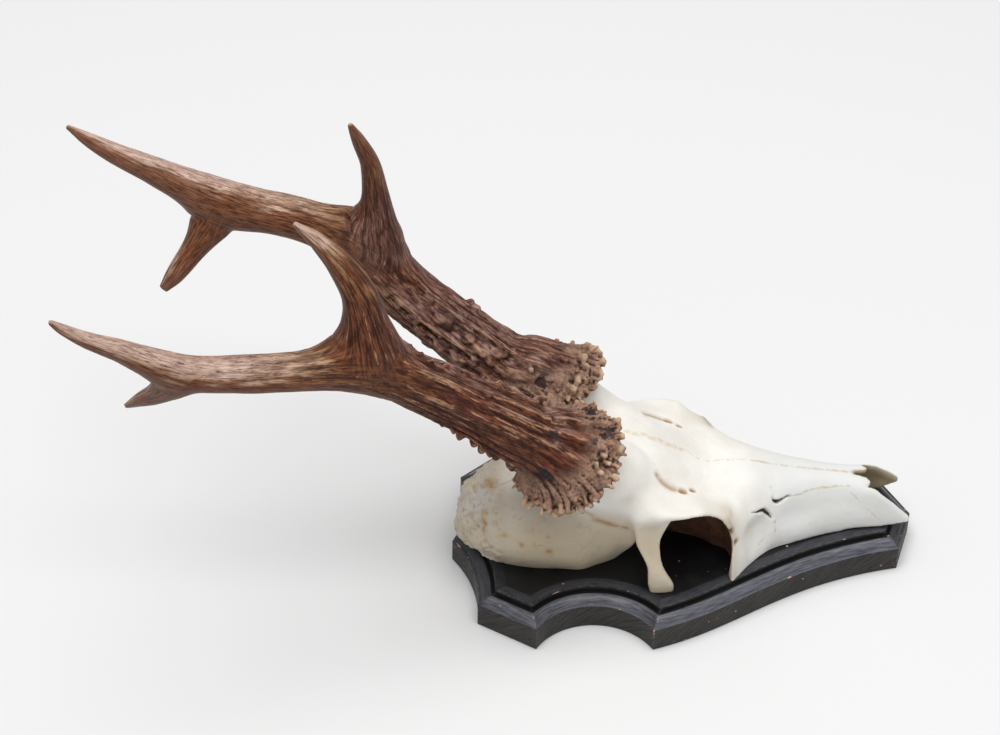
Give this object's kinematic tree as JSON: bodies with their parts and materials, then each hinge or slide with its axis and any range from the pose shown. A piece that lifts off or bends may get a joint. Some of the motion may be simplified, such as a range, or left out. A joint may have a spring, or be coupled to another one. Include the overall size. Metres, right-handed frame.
{
  "type": "deer antler mount",
  "caption": "Roe deer antlers with beaded burrs on a sawn upper skull, fixed to a black moulded wooden shield that lies on its flat back.",
  "frame": {"origin": "on the shield's flat back face, midway between its rear point and its muzzle point", "axes": "+X along the skull towards the muzzle, +Y to the buck's left, +Z out of the shield's face, so the mount lies on its back"},
  "size_m": [0.3566, 0.1235, 0.2151],
  "materials": {
    "shield_wood": "satin black paint",
    "skull_bone": "matte",
    "antler": "satin"
  },
  "bodies": {
    "root": {"shield": "shield_wood", "skull": "skull_bone", "right_antler_beam": "antler", "right_antler_front_tine": "antler", "right_antler_upper_beam": "antler", "right_antler_rear_tine": "antler", "left_antler_beam": "antler", "left_antler_front_tine": "antler", "left_antler_upper_beam": "antler", "left_antler_rear_tine": "antler"}
  },
  "joints": []
}
